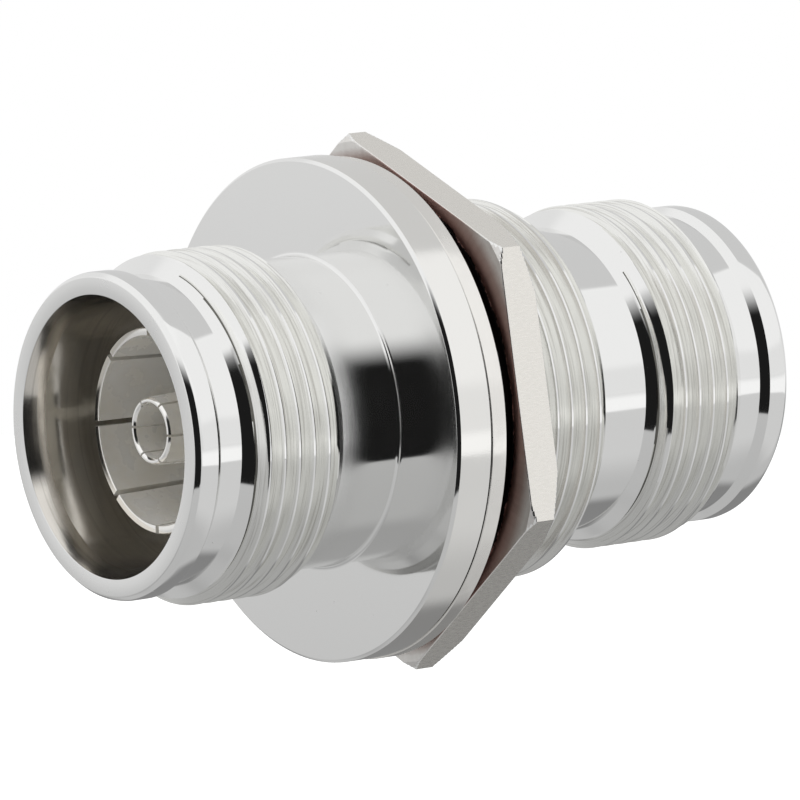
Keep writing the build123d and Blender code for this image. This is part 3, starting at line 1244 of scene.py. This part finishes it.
@dataclass
class PanelNut:
    """The hexagon nut with its collar and its inner thread."""

    layout: Layout
    finishes: Sequence[bpy.types.Material]
    washer_rear: float = 17.41
    gap: float = 0.05
    wall: float = 2.38
    collar_wall: float = 1.83
    collar_length: float = 1.55
    hex_length: float = 2.18
    corner_angle: float = 30.0
    front_corner_cut: float = 0.47
    rear_corner_cut: float = 1.22
    bore_chamfer: float = 0.35
    clearance: float = 0.04
    turned_by: float = -12.2
    edge: float = 0.08
    row: float = 0.045
    columns: int = 360
    collar_fillet: float = 0.12
    # Length of the collar's foot that is painted nearly black as shade between washer and nut
    painted_shade_collar_length: float = 0.5
    blank_edge: float = 0.03
    undivided_height: float = 4.0
    seam: float = 0.01
    cone_facing: float = 0.3
    flat_facing: float = 0.8

    def outline(self) -> list[Point]:
        """Half section of the turned blank that the hexagon is milled from."""
        lay = self.layout
        bore = lay.panel_thread_radius + self.clearance
        flat = lay.panel_thread_radius + self.wall
        corner = flat / math.cos(math.pi / 6)
        collar = lay.panel_thread_radius + self.collar_wall
        slope = math.tan(math.radians(self.corner_angle))
        front = self.washer_rear + self.gap
        hex_front = front + self.collar_length
        hex_rear = hex_front + self.hex_length
        fillet_middle = 0.3 * self.collar_fillet
        return [
            lay.from_front(front, bore + self.bore_chamfer),
            lay.from_front(front, collar),
            lay.from_front(hex_front - self.painted_shade_collar_length, collar),
            *three_point_arc(
                lay.from_front(hex_front - self.collar_fillet, collar),
                lay.from_front(hex_front - fillet_middle, collar + fillet_middle),
                lay.from_front(hex_front, collar + self.collar_fillet), 4,
            ),
            lay.from_front(hex_front, flat - self.edge),
            lay.from_front(hex_front, corner - self.front_corner_cut),
            lay.from_front(hex_front + self.front_corner_cut * slope, corner),
            lay.from_front(hex_rear - self.rear_corner_cut * slope, corner),
            lay.from_front(hex_rear, corner - self.rear_corner_cut),
            lay.from_front(hex_rear, flat - self.edge),
            lay.from_front(hex_rear, bore + self.bore_chamfer),
            lay.from_front(hex_rear - self.bore_chamfer, bore),
            lay.from_front(front + self.bore_chamfer, bore),
        ]

    def dress(self) -> bpy.types.Object:
        """Turn the blank, mill its flats and give it its finishes."""
        lay = self.layout
        flat = lay.panel_thread_radius + self.wall
        hex_front = self.washer_rear + self.gap + self.collar_length - lay.flange_rear
        hex_rear = hex_front + self.hex_length
        bm = bmesh.new()
        turned = soften(self.outline(), self.blank_edge, closed=True)
        outline = divide(turned, self.row, lay.neck_radius + self.undivided_height)
        faces = turn_outline(
            bm, outline, closed=True, start=math.radians(self.turned_by), steps=self.columns,
        )
        sixth = math.radians(60)
        for vert in bm.verts:
            along = vert.co.y
            depth = min(along - hex_front, hex_rear - along)
            if depth < -HAIR:
                continue
            inset = 0.0
            if depth < self.edge:
                short = self.edge - max(depth, 0.0)
                inset = self.edge - math.sqrt(max(0.0, self.edge ** 2 - short ** 2))
            angle = math.atan2(vert.co.x, vert.co.z) - math.radians(self.turned_by)
            off_flat = (angle % sixth) - sixth / 2
            limit = (flat - inset) / math.cos(off_flat)
            radius = math.hypot(vert.co.x, vert.co.z)
            if radius > limit:
                vert.co.x *= limit / radius
                vert.co.z *= limit / radius
        for face in faces:
            centre = face.calc_center_median()
            face.normal_update()
            facing = abs(face.normal.y)
            outward = math.hypot(centre.x, centre.z)
            on_collar = centre.y < hex_front - self.seam
            on_cone = self.cone_facing < facing < self.flat_facing
            on_front = facing > self.flat_facing and centre.y < hex_rear - self.hex_length / 2
            # The collar's foot and the front face take the face finish, whose ramp paints shade on them
            if on_collar and centre.y > hex_front - self.painted_shade_collar_length:
                face.material_index = Surface.FACE.value
            elif on_collar or on_cone:
                face.material_index = Surface.RIM.value
            elif on_front and outward > flat - self.wall:
                face.material_index = Surface.FACE.value
        bmesh.ops.remove_doubles(bm, verts=bm.verts, dist=HAIR)
        return make_piece(bm, "milled_nut", "nut", ["hex_nut"], self.finishes, 30.0)


def divide(points: Sequence[Point], longest: float, beyond: float) -> list[Point]:
    """Divide the outer runs of a closed outline, so that a milled shape can follow them.

    Args:
        points: The outline.
        longest: Longest run that is left.
        beyond: Runs at a smaller radius stay whole.

    Returns:
        The divided outline.
    """
    result = []
    for i, start in enumerate(points):
        end = points[(i + 1) % len(points)]
        result.append(start)
        if min(start[1], end[1]) < beyond:
            continue
        pieces = math.ceil(math.dist(start, end) / longest)
        for k in range(1, pieces):
            share = k / pieces
            result.append(tuple(a + (b - a) * share for a, b in zip(start, end)))
    return result


@dataclass(frozen=True)
class Panel:
    """A soft-edged patch of the room, in degrees.

    Azimuth 0 lies in front of the adapter and 90 on its near side.
    """

    azimuth: float
    half_width: float
    low: float
    high: float
    level: float
    soft_side: float = 6.0
    soft_low: float = 4.0
    soft_high: float = 8.0

    def over(
        self, tree: bpy.types.NodeTree, azimuth: bpy.types.NodeSocket,
        elevation: bpy.types.NodeSocket, below: bpy.types.NodeSocket,
    ) -> bpy.types.NodeSocket:
        """Lay the panel over what is already there.

        Args:
            tree: The world's node tree.
            azimuth: Azimuth of the ray in radians.
            elevation: Elevation of the ray in radians.
            below: Brightness without this panel.

        Returns:
            Brightness with this panel.
        """
        turned = combine(tree, "SUBTRACT", azimuth, math.radians(self.azimuth))
        wrapped = add_node(
            tree, "ShaderNodeMath", {0: turned, 1: math.pi, 2: -math.pi}, operation="WRAP",
        ).outputs["Value"]
        aside = combine(tree, "ABSOLUTE", wrapped, 0.0)
        side, soft = math.radians(self.half_width), math.radians(self.soft_side) / 2
        across = stretch(tree, aside, (side - soft, side + soft), (1.0, 0.0))
        low, soft = math.radians(self.low), math.radians(self.soft_low) / 2
        above = stretch(tree, elevation, (low - soft, low + soft), (0.0, 1.0))
        high, soft = math.radians(self.high), math.radians(self.soft_high) / 2
        under = stretch(tree, elevation, (high - soft, high + soft), (1.0, 0.0))
        share = combine(tree, "MULTIPLY", combine(tree, "MULTIPLY", across, above), under)
        mix = add_node(tree, "ShaderNodeMix", {"Factor": share, 2: below, 3: self.level})
        return mix.outputs[0]


@dataclass(frozen=True)
class Studio:
    """The camera, the pale table and the soft white room."""

    azimuth: float = 53.78
    elevation: float = 10.09
    lens_mm: float = 380.4
    front_centre_mm: tuple[float, float, float] = (-16.644, 2.091, 471.10)
    front_centre_at_mm: float = -16.44
    table_drop_mm: float = 60.0
    table_near_mm: float = 200.0
    table_far_mm: float = 320.0
    table_half_width_mm: float = 320.0
    table_colour: str = "#DDDDDC"
    table_lift: float = 0.35
    room_levels: Sequence[Point] = (
        (-90, 0.5), (-13, 0.57), (-8, 0.77), (4, 0.79), (30, 1.0), (90, 1.0),
    )
    panels: Sequence[Panel] = (
        Panel(-155, 38, 0, 76, 0.66, 5, 12, 14),
        Panel(137, 28, -3, 62, 0.96, 5, 2, 10),
        Panel(137, 28, -3, 12, 0.85, 5, 2, 6),
        Panel(137, 36, -14, -5, 1.04, 8, 1.5, 5),
        Panel(-60, 45, 10, 45, 0.93, 16, 14, 6),
        Panel(-15, 75, 38, 95, 0.96, 30, 14, 4),
        Panel(-97, 20, -8, 36, 0.84, 10, 6, 10),
        Panel(132, 34, -46, -14, 0.68, 14, 16, 1.5),
        Panel(-138, 33, -62, -12, 0.25, 16, 16, 6),
        Panel(0, 14, -40, -16, 0.5, 8, 10, 4),
        Panel(-38, 40, -62, -32, 0.42, 24, 12, 12),
        Panel(56, 38, -25.5, 38, 0.012, 6, 1.2, 17),
    )

    def set_camera(self) -> None:
        """Place the camera at the photograph's viewing angle."""
        turn, lift = math.radians(self.azimuth), math.radians(self.elevation)
        right = Vector((math.cos(turn), math.sin(turn), 0))
        level = math.cos(lift)
        back = Vector((math.sin(turn) * level, -math.cos(turn) * level, math.sin(lift)))
        up = back.cross(right)
        across, down, away = (value * MM for value in self.front_centre_mm)
        front = Vector((0, self.front_centre_at_mm * MM, 0))
        data = bpy.data.cameras.new("camera")
        data.lens = self.lens_mm
        data.sensor_width = 36.0
        data.clip_start = 0.01
        data.clip_end = 10.0
        camera = bpy.data.objects.new("camera", data)
        rotation = Matrix((right, up, back)).transposed().to_4x4()
        place = front - across * right + down * up + away * back
        camera.matrix_world = Matrix.Translation(place) @ rotation
        bpy.context.scene.collection.objects.link(camera)
        bpy.context.scene.camera = camera

    def add_table(self) -> None:
        """Add the pale table, which catches the object's shadow.

        Mirror reflections take the table from the room's lower half instead, where its near
        and far edges lie as the metal shows them.
        """
        bm = bmesh.new()
        bmesh.ops.create_grid(bm, x_segments=1, y_segments=1, size=1.0)
        half_depth = (self.table_near_mm + self.table_far_mm) / 2
        bmesh.ops.scale(bm, vec=(self.table_half_width_mm * MM, half_depth * MM, 1), verts=bm.verts)
        bmesh.ops.translate(
            bm, vec=(0, (half_depth - self.table_near_mm) * MM, -self.table_drop_mm * MM), verts=bm.verts,
        )
        turn = Matrix.Rotation(math.radians(self.azimuth), 3, "Z")
        bmesh.ops.rotate(bm, verts=bm.verts, cent=(0, 0, 0), matrix=turn)
        mesh = bpy.data.meshes.new("table")
        bm.to_mesh(mesh)
        bm.free()
        table = bpy.data.objects.new("table", mesh)
        bpy.context.scene.collection.objects.link(table)
        table.visible_glossy = False
        material = new_material("pale_table")
        tree = material.node_tree
        rays = add_node(tree, "ShaderNodeLightPath")
        seen = add_node(tree, "ShaderNodeBsdfDiffuse", {"Color": (1.0, 1.0, 1.0, 1.0)})
        lift = add_node(tree, "ShaderNodeEmission", {"Strength": self.table_lift})
        white = add_node(tree, "ShaderNodeAddShader", {0: seen.outputs[0], 1: lift.outputs[0]})
        grey = add_node(tree, "ShaderNodeBsdfDiffuse", {"Color": linear_colour(self.table_colour)})
        mix = add_node(
            tree, "ShaderNodeMixShader",
            {0: rays.outputs["Is Camera Ray"], 1: grey.outputs[0], 2: white.outputs[0]},
        )
        add_node(tree, "ShaderNodeOutputMaterial", {"Surface": mix.outputs[0]})
        mesh.materials.append(material)

    def light_room(self) -> None:
        """Light the scene with a soft room: white above, greyer below, with panels laid over it.

        The camera sees plain white behind the object. Everything else sees the room.
        """
        world = bpy.data.worlds.new("soft_room")
        bpy.context.scene.world = world
        world.use_nodes = True
        tree = world.node_tree
        tree.nodes.clear()
        place = add_node(tree, "ShaderNodeTexCoord")
        axes = add_node(tree, "ShaderNodeSeparateXYZ", {"Vector": place.outputs["Generated"]})
        toward = combine(tree, "MULTIPLY", axes.outputs["Y"], -1.0)
        azimuth = combine(tree, "ARCTAN2", axes.outputs["X"], toward)
        elevation = combine(tree, "ARCSINE", axes.outputs["Z"], 0.0)
        stops = [(math.radians(degrees), (grey, grey, grey, 1)) for degrees, grey in self.room_levels]
        level = add_ramp(tree, elevation, (-math.pi / 2, math.pi / 2), stops)
        for panel in self.panels:
            level = panel.over(tree, azimuth, elevation, level)
        lit = add_node(tree, "ShaderNodeBackground", {"Color": level, "Strength": 1.0})
        white = add_node(tree, "ShaderNodeBackground", {"Color": (1, 1, 1, 1), "Strength": 1.0})
        rays = add_node(tree, "ShaderNodeLightPath")
        mix = add_node(
            tree, "ShaderNodeMixShader",
            {0: rays.outputs["Is Camera Ray"], 1: lit.outputs[0], 2: white.outputs[0]},
        )
        add_node(tree, "ShaderNodeOutputWorld", {"Surface": mix.outputs[0]})

    def build(self) -> None:
        """Set up everything round the object."""
        bpy.context.scene.view_settings.view_transform = "Standard"
        self.set_camera()
        self.add_table()
        self.light_room()
        log.info("studio ready")


def plain_node(node: str, material: bpy.types.Material) -> None:
    """Give a CAD node that stays its finish.

    Args:
        node: The CAD node's name.
        material: Its material.
    """
    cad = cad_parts[node]
    for slot in cad.material_slots:
        slot.material = material
    log.info("dressed %s", node)


def main() -> None:
    """Build every piece."""
    logging.basicConfig(level=logging.INFO, format="%(message)s")
    layout = Layout()
    # Brass fine-turned and plated with white bronze: a bright mirror with faint rings and a
    # dull stretch where the thread tool ran out on the neck
    mirror = TurnedMetal(
        "white_bronze_on_fine_turned_brass", "#EFEFEE", 0.06, 0.015, 0.1, 0.00015,
        haze=(Haze(-6.5, -5.9, -3.8, 0.21),), dust=1.1,
    ).build()
    # The threads are single-point cut: satin flanks streaked along the cut
    thread = TurnedMetal(
        "white_bronze_on_cut_thread", "#F0F0ED", 0.17, 0.06, 0.09, 0.006, 0.05,
        streak="#B9B7B2", streak_share=0.5,
    ).build()
    # The tool's point leaves the roots dull, and their dark grey is painted shade for the bottom of the
    # grooves
    root = TurnedMetal("white_bronze_in_thread_root_painted_shade", "#6F6E69", 0.35, 0.05, 0.08, 0.002).build()
    # The bores are reamed: half dull, with rings that smear what they mirror
    bore = TurnedMetal(
        "white_bronze_on_reamed_bore", "#E2DED7", 0.17, 0.05, 0.2, 0.002, 0.06, cloud_mm=4.0,
        streak="#B4AFA7", streak_share=0.35, metallic=0.98,
    ).build()
    # End faces are faced off: a soft, even grey
    face = TurnedMetal("white_bronze_on_faced_brass", "#EFEFEE", 0.26, 0.02, 0.09, 0.0006).build()
    # The flange's rim keeps fine chatter lines across it
    rim = TurnedMetal(
        "white_bronze_on_turned_rim", "#F0EFEC", 0.1, 0.04, 0.13, 0.0022, 0.1,
        chatter_lines=170.0, chatter_depth_mm=0.002,
    ).build()
    # Silver plating on spring brass: bright, faintly yellowed by tarnish. Its metallic value is
    # far below a metal's, because a mirror in the narrow bores renders nearly black
    silver = TurnedMetal(
        "silver_on_turned_brass", "#FBFAF7", 0.28, 0.06, 0.12, 0.001, chatter_lines=60.0,
        chatter_depth_mm=0.01, tarnish="#F4EEDF", tarnish_share=0.5, metallic=0.06,
    ).build()
    # The fingers' tips are burnished by plugs: bright silver
    tip = TurnedMetal("silver_burnished_at_tips", "#FBFAF7", 0.12, 0.03, 0.1, 0.0004).build()
    # The washer is turned and tumbled: brushed round the axis with dull streaks
    washer = TurnedMetal(
        "white_bronze_on_tumbled_washer", "#F0EEEA", 0.2, 0.1, 0.1, 0.002, 0.6, cloud_mm=1.6,
    ).build()
    # The nut's flats are milled and tumbled: satin, with fine grain across
    nut = TumbledMetal("white_bronze_on_milled_flats", "#F1EEE8", 0.28).build()
    # The nut's front face is rough and reddish brown, with painted shade: the ramp darkens it towards the
    # collar, which the washer hides, and lightens it towards the corners. The collar's foot, inside the
    # first stop's radius, is painted nearly black as the shade in the corner between washer and nut
    nut_face = TumbledMetal(
        "white_bronze_on_sawn_face_painted_shade", "#D6D2CC", 0.42, 40.0, 0.0, 0.1, 0.009,
        ((12.86, "#0C0A0A"), (12.94, "#9C736B"), (13.9, "#B39E97"), (14.6, "#EAE8E5")),
    ).build()
    # Polytetrafluoroethylene: milky white and waxy
    ptfe = MouldedPolymer("turned_ptfe", "#F1F0EC", 0.45).build()
    # Silicone rubber: matt black
    rubber = MouldedPolymer("moulded_silicone_rubber", "#2A2A2A", 0.6).build()

    AdapterBody(layout, [mirror, thread, face, rim, root, bore]).dress()
    for end, place in (("front", layout.from_front), ("rear", layout.from_rear)):
        OuterContact(layout, place, f"{end}_basket", f"{end}_outer_contact", [silver, tip]).dress()
        CentreContact(layout, place, f"{end}_socket", f"{end}_centre_contact", [silver, tip]).dress()
        Bead(layout, place, f"{end}_insulator", f"{end}_bead", [ptfe]).dress()
    PanelWasher(layout, [washer]).dress()
    PanelNut(layout, [nut, thread, nut_face, mirror]).dress()
    plain_node("centre_rod", silver)
    plain_node("panel_seal", rubber)
    Studio().build()


if __name__ == "__main__":
    main()
